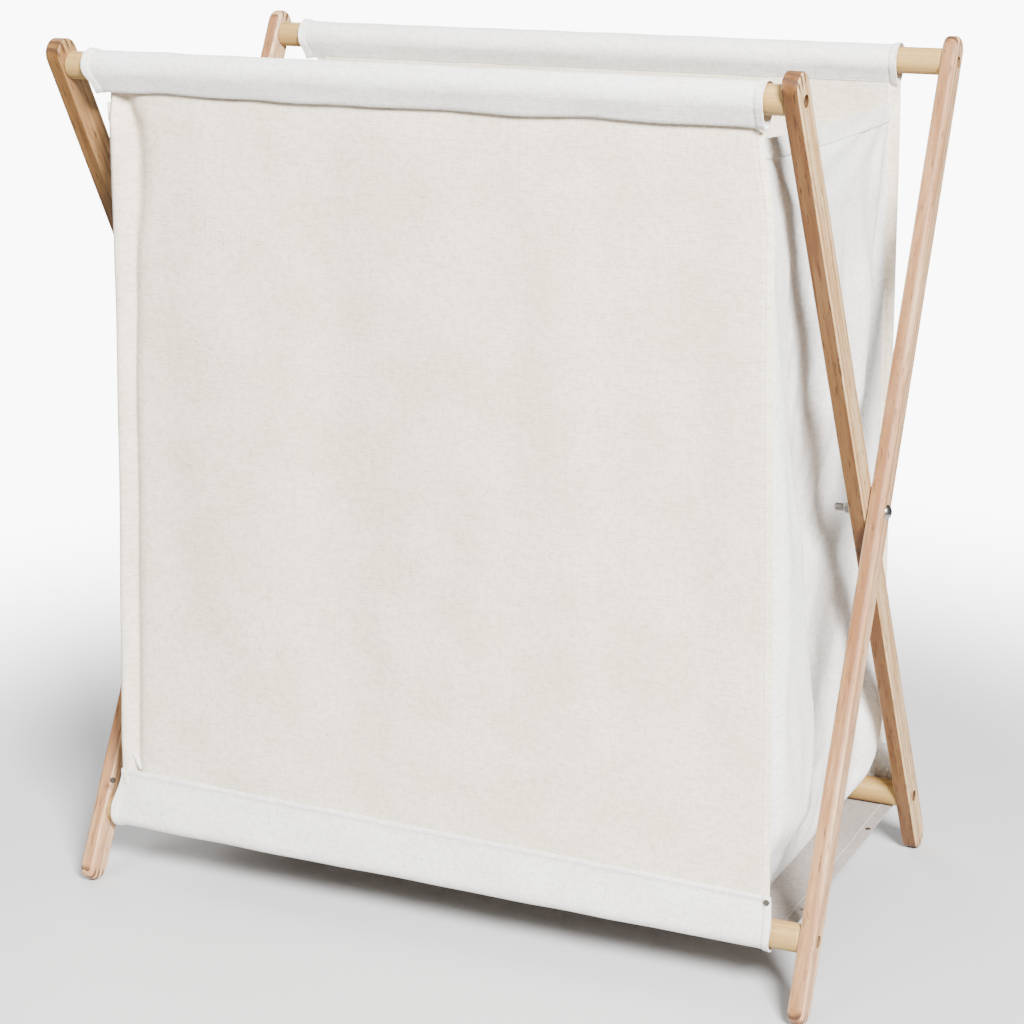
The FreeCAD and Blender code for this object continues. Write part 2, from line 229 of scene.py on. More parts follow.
def wood(name, turn, centre, seed, pale, mid, dark, streak, ring=0.0055, ends=None, figure=1.0, edge=None,
         bores=()):
    """Wood whose grain runs along Z once the piece is turned; centre is where its middle then lies.

    A bar's narrow edges, sawn across the other way, take the edge tint: partly their own darker wood,
    partly painted shade on the faces turned away from the light; its screw bores get a painted shadow
    inside."""
    finish = Finish(name, 0.5, {"Specular IOR Level": 0.35})
    square = finish.moved(finish.place(), rotation=turn)
    pith = (0.006 - centre[0], 0.052 + 0.004 * seed - centre[1], 0.37 * seed)
    grain = finish.moved(finish.moved(square, location=pith), scale=(1, 1, 0.05))
    rings = finish.node("ShaderNodeTexWave",
                        {"wave_type": "RINGS", "rings_direction": "Z", "wave_profile": "SAW"},
                        {"Vector": grain, "Scale": 0.314 / ring, "Distortion": 7.0, "Detail": 3.0,
                         "Detail Scale": 0.55, "Detail Roughness": 0.6}, "Fac")
    colour = finish.ramp(rings, [(0.0, pale), (0.5, mid), (0.84, dark), (0.93, dark), (1.0, pale)])
    plain = finish.mix(0.45, pale, mid)
    fade = finish.cloud(finish.moved(square, location=(0, 3 + seed, 0), scale=(130, 130, 7)), 1.0, 2)
    shown = 0.25 + 0.75 * finish.step(fade, 0.35, 0.65) if figure == 1.0 else figure
    colour = finish.mix(shown, plain, colour)
    slow = finish.moved(square, location=(seed, 0, 0), scale=(95, 95, 9))
    streaks = finish.step(finish.cloud(slow, 1.0, 4, 0.6), 0.42, 0.62)
    colour = finish.mix(streaks * 0.85 * figure, colour, streak)
    pores = finish.cloud(finish.moved(square, scale=(2100, 2100, 75)), 1.0, 2)
    flecks = finish.cloud(finish.moved(square, location=(0, seed, 0), scale=(520, 520, 70)), 1.0, 3, 0.6)
    fleck = finish.step(flecks, 0.58, 0.68) * figure
    colour = finish.mix(finish.step(pores, 0.45, 0.75) * 0.5, colour, dark)
    colour = finish.mix(fleck * 0.7, colour, tuple(c * 0.42 for c in dark))
    # Painted shade, in part the wood's own tone: faces not turned along X, the narrow edges, are multiplied
    # by the leg's edge tint.
    if edge:
        normal = finish.node("ShaderNodeTexCoord", {}, {}, "Normal")
        facing = finish.node("ShaderNodeSeparateXYZ", {}, {0: normal}, "X")
        broad = finish.step(finish.node("ShaderNodeMath", {"operation": "ABSOLUTE"}, {0: facing}), 0.3, 0.8)
        colour = finish.mix(1 - broad, colour, edge, "MULTIPLY")
    if ends:
        height = finish.node("ShaderNodeSeparateXYZ", {}, {0: square}, "Z")
        end_grain = finish.step(height, ends[1] - END_BAND[0], ends[1] - END_BAND[1])
        end_grain = end_grain + finish.step(height, ends[0] + END_BAND[0], ends[0] + END_BAND[1])
        end_tone = tuple(c * 0.35 for c in DARK_GRAIN)
        colour = finish.mix(end_grain * finish.step(rings, 0.5, 0.75) * 0.9, colour, end_tone)
    for height in bores:
        spread = finish.moved(square, location=(0, -centre[1], -height), scale=(0, 1, 1))
        distance = finish.node("ShaderNodeVectorMath", {"operation": "LENGTH"}, {0: spread}, "Value")
        colour = finish.mix(0.9 - 0.9 * finish.step(distance, *BORE_EDGE), colour, BORE_SHADOW)
    finish.use(base_color=colour, roughness=0.44 + 0.18 * pores + 0.12 * fleck)
    finish.bump(0.5 * rings * figure - 0.8 * pores - fleck, 0.22, 0.0004)
    return finish.material


def paint(node, material):
    """Gives a CAD node one material."""
    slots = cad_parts[node].data.materials
    slots.clear()
    slots.append(material)


PINE = ((0.66, 0.475, 0.275), (0.55, 0.365, 0.180), (0.25, 0.12, 0.040), (0.42, 0.23, 0.095))
PINK_PINE = ((0.66, 0.450, 0.270), (0.54, 0.335, 0.180), (0.24, 0.105, 0.045), (0.38, 0.19, 0.085))
# The inner left leg's tan tones are partly its own wood and partly painted shade, darker for the shadow it
# stands in.
SHADED_TAN_PINE = ((0.40, 0.24, 0.095), (0.29, 0.155, 0.055), (0.12, 0.048, 0.014), (0.20, 0.095, 0.032))
PIVOT_ALONG = PIVOT_Z * math.cos(LEG_LEAN)
FOOT_REACH, HEAD_REACH = 0.360, 0.362  # along a leg from the pivot to its ends
LOW_BORE_REACH, HIGH_BORE_REACH = 0.303, 0.342  # and to its screw bores
LEG_ENDS = (PIVOT_ALONG - FOOT_REACH, PIVOT_ALONG + HEAD_REACH)
LEG_BORES = (PIVOT_ALONG - LOW_BORE_REACH, PIVOT_ALONG + HIGH_BORE_REACH)
LEGS = {  # which way it leans, its tones and the tint of its narrow edges (part wood tone, part painted shade)
    "inner_leg_left": (-1, SHADED_TAN_PINE, (0.52, 0.44, 0.34)),
    "inner_leg_right": (-1, PINE, (0.25, 0.165, 0.09)),
    "outer_leg_left": (1, PINK_PINE, (0.90, 0.84, 0.74)),
    "outer_leg_right": (1, PINK_PINE, (0.56, 0.46, 0.35)),
}
for seed, (node, (lean, tones, edge)) in enumerate(LEGS.items()):
    low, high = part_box(node)
    middle = ((low.x + high.x) / 2, -lean * PIVOT_Z * math.sin(LEG_LEAN))
    paint(node, wood(f"{node}_wood", (lean * LEG_LEAN, 0, 0), middle, seed + 1, *tones, ends=LEG_ENDS,
                     edge=edge, bores=LEG_BORES))


# ---- Rails: four dowels turned from a paler, straight-grained wood, each screwed between two legs.
RAIL_TONES = ((0.47, 0.305, 0.105), (0.39, 0.24, 0.073), (0.27, 0.145, 0.040), (0.33, 0.19, 0.058))
for seed, node in enumerate(("front_top_rail", "rear_bottom_rail", "rear_top_rail", "front_bottom_rail")):
    low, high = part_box(node)
    middle = (-(low.z + high.z) / 2, (low.y + high.y) / 2)
    paint(node, wood(f"{node}_wood", (0, math.radians(-90), 0), middle, seed + 5, *RAIL_TONES, ring=0.0040,
                     figure=0.4))


# ---- Steel: plated pivot bolts, lock nuts and washers, and the zinc-plated screws deep in their bores.
def steel(name, tone, roughness, dulled):
    """Plated steel, duller and darker where it has been handled or has caught dust."""
    finish = Finish(name, roughness, {"Metallic": 1.0})
    smear = finish.cloud(finish.place(), 700, 3)
    fine = finish.cloud(finish.place(), 4200, 2)
    dull_tone = tuple(c * 0.45 for c in tone)
    finish.use(base_color=finish.mix(finish.step(smear, 0.45, 0.75) * dulled, tone, dull_tone),
               roughness=roughness + 0.2 * smear)
    finish.bump(fine, 0.12, 0.0001)
    return finish.material


bolt_steel = steel("bolt_steel", (0.46, 0.44, 0.41), 0.18, 0.35)
nut_steel = steel("nut_steel", (0.24, 0.24, 0.23), 0.32, 0.4)
screw_steel = steel("screw_steel", (0.22, 0.20, 0.17), 0.35, 0.6)
for side in ("left", "right"):
    paint(f"pivot_bolt_{side}", bolt_steel)
    for part in ("pivot_nut", "nut_washer", "spacer_washer"):
        paint(f"{part}_{side}", nut_steel)
for node in ("inner_rail_screws", "outer_rail_screws"):
    paint(node, screw_steel)


# ---- Bolt threads: the turns that show on each pivot bolt's end, past the lock nut.
THREAD_PITCH, THREAD_TURNS = 0.0008, 8
THREAD_RADIUS, THREAD_HALF_DEPTH = 0.0025, 0.00034
for side, facing in (("left", -1), ("right", 1)):
    low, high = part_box(f"pivot_bolt_{side}")
    tip = low.x if facing > 0 else high.x
    bpy.ops.mesh.primitive_torus_add(major_radius=THREAD_RADIUS, minor_radius=THREAD_HALF_DEPTH,
                                     major_segments=28, minor_segments=6,
                                     location=(tip + facing * THREAD_PITCH, 0, PIVOT_Z),
                                     rotation=(0, math.radians(86.5), 0))
    thread = bpy.context.object
    thread.name = f"bolt_thread_{side}"
    bpy.ops.object.transform_apply(location=True, rotation=True, scale=True)
    turns = thread.modifiers.new("turns", "ARRAY")
    turns.count, turns.use_relative_offset, turns.use_constant_offset = THREAD_TURNS, False, True
    turns.constant_offset_displace = (facing * THREAD_PITCH, 0, 0)
    bpy.ops.object.modifier_apply(modifier="turns")
    bpy.ops.object.shade_smooth()
    thread.data.materials.append(nut_steel)
    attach(thread, "pivot_bolts")
    thread.select_set(False)


# ---- Base cloth: one taut rectangle of canvas under both bottom rails, its side edges hemmed and stitched.
CLOTH = 0.0012
WEAVE = 0.0008
STITCH_PITCH, STITCH_LENGTH, STITCH_RADIUS = 0.0032, 0.0023, 0.00032


def canvas(name, tone, shade, speck):
    """Cotton canvas: a plain weave on the cloth's own UV map, uneven tone, slubs and a few brown specks."""
    finish = Finish(name, 0.88, {"Specular IOR Level": 0.2, "Sheen Weight": 0.12, "Sheen Roughness": 0.5})
    cloth_map = finish.node("ShaderNodeUVMap", {"uv_map": "cloth"}, {}, "UV")
    split = finish.node("ShaderNodeSeparateXYZ", {}, {0: cloth_map}, "X")
    across, along = split, Socket(finish, split.link.node.outputs["Y"])
    wobble = finish.cloud(cloth_map, 90, 2) * 2.4

    def thread(distance, shift):
        turn = distance * (2 * math.pi / WEAVE) + wobble + shift
        return finish.node("ShaderNodeMath", {"operation": "SINE"}, {0: turn})
    weft, warp = thread(across, 0.0), thread(along, 1.7)
    slub_across = finish.cloud(finish.moved(cloth_map, scale=(75, 620, 1)), 1.0, 2)
    slub_along = finish.cloud(finish.moved(cloth_map, location=(7, 3, 0), scale=(620, 75, 1)), 1.0, 2)
    slubs = finish.step(slub_across, 0.52, 0.70) + finish.step(slub_along, 0.56, 0.74)
    blotch = finish.cloud(cloth_map, 16, 3, 0.6)
    mottle = finish.cloud(cloth_map, 200, 3, 0.7)
    grain = finish.cloud(cloth_map, 480, 3, 0.8)
    uneven = finish.step(blotch, 0.38, 0.62) * 0.75 + finish.step(mottle, 0.42, 0.62) * 0.25
    colour = finish.mix(uneven, tone, shade)
    dusk = tuple(c * 0.62 for c in shade)
    colour = finish.mix(finish.step(grain, 0.46, 0.62) * 0.28 + slubs * 0.2, colour, dusk)
    colour = finish.mix(finish.step(mottle, 0.46, 0.60) * 0.22, colour, dusk)
    seeds = finish.step(finish.cloud(finish.moved(cloth_map, location=(1, 5, 0)), 260, 1, 0.4), 0.775, 0.80)
    colour = finish.mix(seeds * 0.45, colour, speck)
    finish.use(base_color=colour, roughness=0.8 + 0.15 * grain)
    finish.bump(weft * warp * 0.4 + slubs * 0.9 + grain * 1.2 + mottle * 1.5, 0.45, 0.0004)
    return finish.material


def marks(length, gap, fine=()):
    """Distances from 0 to length about gap apart, and closer together beside each fine line."""
    count = max(1, round(length / gap))
    found = {round(length * i / count, 6) for i in range(count + 1)}
    for line in fine:
        found |= {round(line + d, 6) for d in (-0.003, -0.0015, -0.0006, 0, 0.0006, 0.0015, 0.003)}
    kept = []
    for mark in sorted(m for m in found if 0 <= m <= length):
        if not kept or mark - kept[-1] > 0.0004:
            kept.append(mark)
    kept[-1] = length
    return kept


def cut_cloth(name, columns, rows, lay):
    """A sheet cut as a grid with marks at columns and rows, each point laid where lay(across, up) says."""
    bpy.ops.mesh.primitive_grid_add(x_subdivisions=len(columns) - 1, y_subdivisions=len(rows) - 1, size=2)
    sheet = bpy.context.object
    sheet.name = sheet.data.name = name
    sheet.data.uv_layers[0].name = "cloth"
    flat = [(columns[round((p.co.x + 1) / 2 * (len(columns) - 1))],
             rows[round((p.co.y + 1) / 2 * (len(rows) - 1))]) for p in sheet.data.vertices]
    for point, mark in zip(sheet.data.vertices, flat):
        point.co = lay(*mark)
    for corner, chart in zip(sheet.data.loops, sheet.data.uv_layers["cloth"].data):
        chart.uv = flat[corner.vertex_index]
    sheet.data.update()
    sheet["grid"] = (len(columns), len(rows))
    return sheet


def line_on(sheet, row=None, column=None, end=None):
    """Points and outward normals along one row or column of a sheet that has no thickness yet."""
    wide, high = sheet["grid"]
    if column is None:
        places = [row * wide + i for i in range(wide)]
    else:
        places = [i * wide + column for i in range(high)]
    points = sheet.data.vertices
    return [(points[i].co.copy(), points[i].normal.copy()) for i in places[:end]]


def nearest(values, wanted):
    return min(range(len(values)), key=lambda i: abs(values[i] - wanted))


def thicken(sheet, material, thick=CLOTH, offset=-1):
    """Gives a sheet its cloth's thickness and its finish."""
    bpy.context.view_layer.objects.active = sheet
    shell = sheet.modifiers.new("thickness", "SOLIDIFY")
    shell.thickness, shell.offset = thick, offset
    bpy.ops.object.modifier_apply(modifier="thickness")
    bpy.ops.object.shade_smooth()
    bpy.ops.object.shade_smooth_by_angle(angle=math.radians(60))
    sheet.data.materials.append(material)
    sheet.select_set(False)


bpy.ops.mesh.primitive_uv_sphere_add(segments=6, ring_count=4, radius=1)
one_stitch = bpy.context.object
STITCH_POINTS = [p.co.copy() for p in one_stitch.data.vertices]
STITCH_FACES = [tuple(f.vertices) for f in one_stitch.data.polygons]
bpy.data.objects.remove(one_stitch)
thread_finish = Finish("sewing_thread", 0.7, {"Sheen Weight": 0.1})
twist = thread_finish.cloud(thread_finish.place(), 2600, 2)
thread_finish.use(base_color=thread_finish.mix(twist, (0.72, 0.69, 0.64), (0.50, 0.46, 0.40)))
thread_finish.bump(twist, 0.4, 0.0002)


def stitch(name, *lines):
    """Running stitches along lines of points and normals, half sunk in the cloth, as one piece."""
    points, faces = [], []
    for line in lines:
        walked, due = 0.0, STITCH_PITCH / 2
        for (here, normal), (there, next_normal) in zip(line, line[1:]):
            run = (there - here).length
            while run > 0 and due <= walked + run:
                share = (due - walked) / run
                along = (there - here).normalized()
                up_face = normal.lerp(next_normal, share)
                up_face = (up_face - along * up_face.dot(along)).normalized()
                side = along.cross(up_face)
                middle = here.lerp(there, share) + up_face * STITCH_RADIUS * 0.25
                first = len(points)
                points += [middle + along * p.z * STITCH_LENGTH / 2 + side * p.x * STITCH_RADIUS
                           + up_face * p.y * STITCH_RADIUS for p in STITCH_POINTS]
                faces += [tuple(first + i for i in face) for face in STITCH_FACES]
                due += STITCH_PITCH
            walked += run
    mesh = bpy.data.meshes.new(name)
    mesh.from_pydata(points, [], faces)
    mesh.materials.append(thread_finish.material)
    row = bpy.data.objects.new(name, mesh)
    bpy.context.scene.collection.objects.link(row)
    bpy.context.view_layer.objects.active = row
    row.select_set(True)
    bpy.ops.object.mode_set(mode="EDIT")
    bpy.ops.mesh.select_all(action="SELECT")
    bpy.ops.mesh.normals_make_consistent(inside=False)
    bpy.ops.object.mode_set(mode="OBJECT")
    bpy.ops.object.shade_smooth()
    row.select_set(False)
    return row


def wrinkle(x, y, z, seed, size):
    """Smooth noise from about -1 to 1 with bumps of the given size."""
    return 1.6 * noise.noise(Vector((x / size[0] + seed, y / size[1], z / size[2])))


def ease(value):
    """0 to 1 with a soft start and end."""
    value = min(1.0, max(0.0, value))
    return value * value * (3 - 2 * value)


def gather(piece):
    """Hangs a piece of the bag's own cloth on the bag body, with a mesh of its own."""
    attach(piece, "bag")
    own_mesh(piece)


base_low, base_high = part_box("base_sling")
BASE_LENGTH, BASE_DEPTH = base_high.x - base_low.x, base_high.y - base_low.y
BASE_HEM, BASE_SAG = 0.0105, 0.0012
base_canvas = canvas("base_canvas", (0.34, 0.295, 0.26), (0.27, 0.23, 0.20), (0.22, 0.14, 0.08))
band_canvas = canvas("band_canvas", (0.93, 0.91, 0.88), (0.86, 0.83, 0.785), (0.40, 0.28, 0.18))
panel_canvas = canvas("panel_canvas", (0.89, 0.785, 0.640), (0.76, 0.650, 0.505), (0.34, 0.21, 0.11))

base_columns = marks(BASE_LENGTH, 0.008, (BASE_HEM, BASE_LENGTH - BASE_HEM))
base_rows = marks(BASE_DEPTH, 0.008)


def lay_base(across, up):
    x, y = base_low.x + across, base_low.y + up
    middle = math.sin(math.pi * up / BASE_DEPTH) * math.sin(math.pi * min(1, max(0, across / BASE_LENGTH)))
    to_edge = min(across, BASE_LENGTH - across)
    doubled = CLOTH * 0.7 * (1 - ease((to_edge - BASE_HEM + 0.0004) / 0.0008))
    dimple = -0.0004 * math.exp(-((to_edge - BASE_HEM + 0.0012) / 0.0006) ** 2)
    ripple = 0.0006 * wrinkle(x, y, 0, 3, (0.02, 0.09, 1)) * (1 - ease(to_edge / 0.09))
    ripple += 0.0004 * wrinkle(x, y, 0, 9, (0.09, 0.05, 1))
    lift = (doubled + dimple + ripple) * math.sin(math.pi * up / BASE_DEPTH) ** 0.3
    return Vector((x, y, base_high.z - BASE_SAG * middle + lift))


base = cut_cloth("base_cloth", base_columns, base_rows, lay_base)
HEM_SEAM = BASE_HEM - 0.0012
base_hems = [line_on(base, column=nearest(base_columns, x)) for x in (HEM_SEAM, BASE_LENGTH - HEM_SEAM)]
base_stitches = stitch("base_hem_stitches", *base_hems)
thicken(base, base_canvas)
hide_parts("base_sling")
gather(base)
gather(base_stitches)


# ---- Press studs: small dark plated caps near the corners of the base and of the bottom bands.
stud_finish = Finish("stud_plate", 0.32, {"Metallic": 0.9})
stud_wear = stud_finish.cloud(stud_finish.place(), 1500, 2)
stud_worn = stud_finish.step(stud_wear, 0.5, 0.8)
stud_finish.use(base_color=stud_finish.mix(stud_worn, (0.10, 0.085, 0.075), (0.30, 0.27, 0.24)))
stud_finish.bump(stud_wear, 0.1, 0.0001)
for node in ("front_band_studs", "rear_band_studs"):
    paint(node, stud_finish.material)
stud_low, stud_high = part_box("base_studs")
STUD_RADIUS, STUD_HEIGHT = 0.0022, 0.0011
caps = []
for x in (stud_low.x + STUD_RADIUS, stud_high.x - STUD_RADIUS):
    for y in (stud_low.y + STUD_RADIUS, stud_high.y - STUD_RADIUS):
        bpy.ops.mesh.primitive_cylinder_add(vertices=24, radius=STUD_RADIUS, depth=STUD_HEIGHT,
                                            location=(x, y, stud_low.z + STUD_HEIGHT / 2))
        caps.append(bpy.context.object)
for cap in caps:
    cap.select_set(True)
bpy.ops.object.join()
base_studs = bpy.context.object
base_studs.name = base_studs.data.name = "base_press_studs"
bpy.ops.object.transform_apply(location=True, rotation=True, scale=True)
dome = base_studs.modifiers.new("dome", "BEVEL")
dome.width, dome.segments = 0.0005, 3
bpy.ops.object.modifier_apply(modifier="dome")
bpy.ops.object.shade_smooth()
base_studs.data.materials.append(stud_finish.material)
base_studs.select_set(False)
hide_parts("base_studs")
gather(base_studs)


# ---- Bottom channels: at the front and the back, an outer band and an inner lining hold a bottom rail.
# The band runs from under the rail up to the panel's seam, its ends turned in and stitched.
END_HEM = 0.006


def rail_centre(node):
    """Where a rail's axis is, front to back and up."""
    low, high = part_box(node)
    return (low.y + high.y) / 2, (low.z + high.z) / 2


RAIL_RADIUS = (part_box("front_bottom_rail")[1].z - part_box("front_bottom_rail")[0].z) / 2
CHANNEL_RADIUS = RAIL_RADIUS + 0.0016
BOTTOM_RAIL, TOP_RAIL = rail_centre("rear_bottom_rail"), rail_centre("rear_top_rail")
BAND_SEAM = 0.003  # from a band's top edge down to its stitching
BAND_TOP = {"front": (0.0925, 0.0850), "rear": (0.0880, 0.0885)}  # at the left end and the right end


def follow_channel(piece, where):
    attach(piece, f"{where}_channel")


for where, facing in (("front", -1), ("rear", 1)):
    band_low, band_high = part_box(f"{where}_band")
    band_length = band_high.x - band_low.x
    under = CHANNEL_RADIUS * math.pi / 2
    band_height = under + sum(BAND_TOP[where]) / 2 - BOTTOM_RAIL[1]
    flare = 0.012 if where == "front" else 0.0

    def lay_band(across, up, where=where, facing=facing, low=band_low.x, length=band_length, flare=flare):
        side = across if facing < 0 else length - across
        x = low + side
        top = BAND_TOP[where][0] * (1 - side / length) + BAND_TOP[where][1] * side / length
        if up < under:
            angle = up / CHANNEL_RADIUS
            y = BOTTOM_RAIL[0] + CHANNEL_RADIUS * math.sin(angle)
            z = BOTTOM_RAIL[1] - CHANNEL_RADIUS * math.cos(angle)
            out = Vector((0, math.sin(angle), -math.cos(angle)))
        else:
            rise = (up - under) / (band_height - under)
            y, z = BOTTOM_RAIL[0] + CHANNEL_RADIUS, BOTTOM_RAIL[1] + rise * (top - BOTTOM_RAIL[1])
            out = Vector((0, 1, 0))
        height = min(1, up / band_height)
        to_end = min(across, length - across)
        loose = 0.0009 * math.sin(math.pi * height) * (1 + wrinkle(x, 0, z, 11 + facing, (0.05, 1, 0.03)))
        loose *= ease(to_end / 0.03)
        hem = 0.0005 * (1 - ease((to_end - END_HEM + 0.0004) / 0.0008))
        hem -= 0.0004 * math.exp(-((to_end - END_HEM) / 0.0006) ** 2)
        lip = 0.0010 * ease((height - 0.88) / 0.10) * (1 - ease((height - 0.97) / 0.03) * 0.6)
        flared = 0.0010 * (1 - ease(to_end / 0.012)) * (1 - ease((height - 0.4) / 0.3))
        place = Vector((x, y, z)) + out * (loose + hem + lip + flared)
        if side < 0.03:
            place.x += flare * ease((height - 0.35) / 0.65) * (1 - side / 0.03)
        if length - side < 0.03:
            place.x -= 0.003 * (1 - ease(height / 0.6)) * (1 - (length - side) / 0.03)
        place.y *= facing
        return place

    band_columns = marks(band_length, 0.006, (END_HEM, band_length - END_HEM))
    band_rows = marks(band_height, 0.0022, (band_height - BAND_SEAM,))
    band = cut_cloth(f"{where}_bottom_band", band_columns, band_rows, lay_band)
    top_row = nearest(band_rows, band_height - BAND_SEAM)
    ends = [line_on(band, column=nearest(band_columns, x)) for x in (END_HEM, band_length - END_HEM)]
    band_stitches = stitch(f"{where}_band_stitches", line_on(band, row=top_row), *ends)
    thicken(band, band_canvas)
    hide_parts(f"{where}_band")
    band_height + 0.012
    follow_channel(band, where)
    follow_channel(band_stitches, where)

    foot_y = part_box(f"{where}_lining")[0].y if facing > 0 else -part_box(f"{where}_lining")[1].y
    foot = Vector((0, foot_y, base_high.z + 0.0008))
    knee = Vector((0, foot_y + 0.010, base_high.z + 0.026))
    head = Vector((0, BOTTOM_RAIL[0] + RAIL_RADIUS - 0.0012, sum(BAND_TOP[where]) / 2 - 0.001))
    lining_height = (knee - foot).length + (head - knee).length
    foot_half, head_half = 0.229, 0.2495

    def lay_lining(across, up, facing=facing, foot=foot, knee=knee, head=head, tall=lining_height):
        height = up / tall
        bent = foot.lerp(knee, height).lerp(knee.lerp(head, height), height)
        half = foot_half + (head_half - foot_half) * height
        x = (across / head_half - 1) * half
        rumple = 0.0012 * math.sin(math.pi * height) * wrinkle(x, 0, bent.z, 21 + facing, (0.035, 1, 0.02))
        return Vector((x, facing * (bent.y + rumple), bent.z))

    lining = cut_cloth(f"{where}_channel_lining", marks(2 * head_half, 0.008), marks(lining_height, 0.004),
                       lay_lining)
    thicken(lining, panel_canvas, thick=0.001, offset=0)
    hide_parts(f"{where}_lining")
    follow_channel(lining, where)


# ---- Panels: the front and back canvas, taut from the top channel's seam down to the bottom band.
# The front panel is wider at its foot, and its left edge rolls forward; the back one has stitched flanges.
PANEL_TOP = (TOP_RAIL[0], TOP_RAIL[1] - 0.0165)
PANEL_FOOT_Y = BOTTOM_RAIL[0] + CHANNEL_RADIUS - 0.0002
ROLL_WIDTH, FLANGE = 0.013, 0.008
SEAM_Z, PANEL_FOOT_Z = 0.088, 0.080  # the panels' seam with the bands, and their hidden lower edge
VALLEY = (  # heights of the valley beside the left roll, and how far in from the edge it runs there
    (0.08, 0.40, 0.48, 0.55, 0.585, 0.612),
    (0.0145, 0.0150, 0.0170, 0.0210, 0.0200, 0.0110),
)


def between(stops, values, wanted):
    """Value at a place between stops, eased from one stop to the next."""
    for (low, high), (first, second) in zip(zip(stops, stops[1:]), zip(values, values[1:])):
        if wanted <= high:
            return first + (second - first) * ease((wanted - low) / (high - low))
    return values[-1]


def front_left(z):
    """How far left of the middle the front panel's left edge is, at a height."""
    drop = (PANEL_TOP[1] - z) / (PANEL_TOP[1] - SEAM_Z)
    return 0.2452 + 0.0245 * min(1, max(0, drop)) ** 1.35


def front_right(z):
    return 0.2648 - 0.0085 * ease((z - 0.545) / 0.075) - 0.0010 * ease((z - 0.25) / 0.2)


def rear_left(z):
    return 0.2535


rear_right = rear_left


def panel_y(z):
    """How far from the middle the panels are, at a height."""
    return PANEL_FOOT_Y + (PANEL_TOP[0] - PANEL_FOOT_Y) * (z - SEAM_Z) / (PANEL_TOP[1] - SEAM_Z)


PANEL_WIDTH, PANEL_HEIGHT = 0.516, PANEL_TOP[1] - PANEL_FOOT_Z
WAVES = ((0.225, 0.6, 0.0016), (0.135, 2.1, 0.0010), (0.071, 4.4, 0.0004))  # length, phase, height
for where, facing, left_edge, right_edge in (("front", -1, front_left, front_right),
                                             ("rear", 1, rear_left, rear_right)):
    edge_lines = (0.005, ROLL_WIDTH) if where == "front" else (FLANGE, FLANGE + 0.0006)

    def lay_panel(across, up, where=where, facing=facing, left_edge=left_edge, right_edge=right_edge):
        height = up / PANEL_HEIGHT
        z = PANEL_FOOT_Z + up
        share = across / PANEL_WIDTH
        if facing > 0:
            share = 1 - share
        x = -left_edge(z) + share * (left_edge(z) + right_edge(z))
        from_left, from_right = x + left_edge(z), right_edge(z) - x
        calm = math.sin(math.pi * min(1, max(0, height))) ** 0.6
        out = sum(tall * math.sin(2 * math.pi * (x + 0.03 * z) / long + phase + facing)
                  for long, phase, tall in WAVES)
        out = out * calm * ease(min(from_left, from_right) / 0.05)
        out += 0.0007 * wrinkle(x, 0, z, 31 + facing, (0.04, 1, 0.07)) * calm
        if where == "front":
            valley = between(*VALLEY, z)
            widen = ease((z - 0.50) / 0.08)
            deep, wide = 0.0050 + 0.0035 * widen, 0.0045 + 0.0035 * widen
            out -= deep * math.exp(-((from_left - valley) / wide) ** 2)
            roll = 0.0028 * math.exp(-((from_left - 0.0060) / 0.0050) ** 2)
            out += roll * (1 - 0.6 * ease((0.12 - z) / 0.03))
            out -= 0.0040 * (1 - ease(from_left / 0.004))
            seam_dent = 0.0005 * math.exp(-((from_right - 0.005) / 0.0008) ** 2)
            out -= 0.0030 * (1 - ease(from_right / 0.0045)) + seam_dent
        else:
            edge = min(from_left, from_right)
            seam_dent = 0.0006 * math.exp(-((edge - FLANGE - 0.001) / 0.001) ** 2)
            out += 0.0011 * (1 - ease((edge - FLANGE) / 0.0012)) - seam_dent
        out -= 0.0012 * ease((height - 0.965) / 0.03)
        return Vector((x, facing * (panel_y(z) + out), z))

    panel_lines = (edge_lines[0], PANEL_WIDTH - edge_lines[0],
                   edge_lines[1] + 0.003, PANEL_WIDTH - edge_lines[1] - 0.003)
    panel_columns = marks(PANEL_WIDTH, 0.0055, panel_lines)
    panel_rows = marks(PANEL_HEIGHT, 0.0055)
    panel = cut_cloth(f"{where}_cloth_panel", panel_columns, panel_rows, lay_panel)
    if where == "front":
        seams = [line_on(panel, column=nearest(panel_columns, PANEL_WIDTH - 0.005), end=-3)]
    else:
        seams = [line_on(panel, column=nearest(panel_columns, x)) for x in (0.0035, PANEL_WIDTH - 0.0035)]
    panel_stitches = stitch(f"{where}_panel_stitches", *seams)
    thicken(panel, panel_canvas)
    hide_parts(f"{where}_panel")
    PANEL_WIDTH + 2 * FLANGE
    PANEL_HEIGHT + 0.012
    seam_foot = (0, facing * PANEL_FOOT_Y, SEAM_Z + 0.006)
    seam_head = (0, facing * PANEL_TOP[0], PANEL_TOP[1] - 0.01)
    for piece in (panel, panel_stitches):
        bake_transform(piece)


# ---- Top channels: a loop of canvas round each top rail, closed by the seam that the panel hangs from.
# The outer layer ends in a slightly wavy lip outside the panel; both ends are hemmed and a little flared.
SLEEVE_RADIUS = RAIL_RADIUS + 0.0004 + CLOTH
INNER_SEAM, LIP, LIP_END = Vector((-0.0015, -0.0185)), Vector((0.0046, -0.0158)), Vector((0.0006, -0.0176))
CREASE = math.radians(57)  # where a soft crease runs along the loop


def tangent(point, turn):
    """Angle on the loop where a straight run of cloth from a point meets it."""
    return math.atan2(point.y, point.x) + turn * math.acos(SLEEVE_RADIUS / point.length)


on_inner, on_outer = tangent(INNER_SEAM, -1) + 2 * math.pi, tangent(LIP, 1)


def on_loop(angle):
    return Vector((math.cos(angle), math.sin(angle))) * SLEEVE_RADIUS


RUNS = ((on_loop(on_inner) - INNER_SEAM).length, SLEEVE_RADIUS * (on_inner - on_outer),
        (LIP - on_loop(on_outer)).length, (LIP_END - LIP).length * 1.25)
SLEEVE_CUT = sum(RUNS)


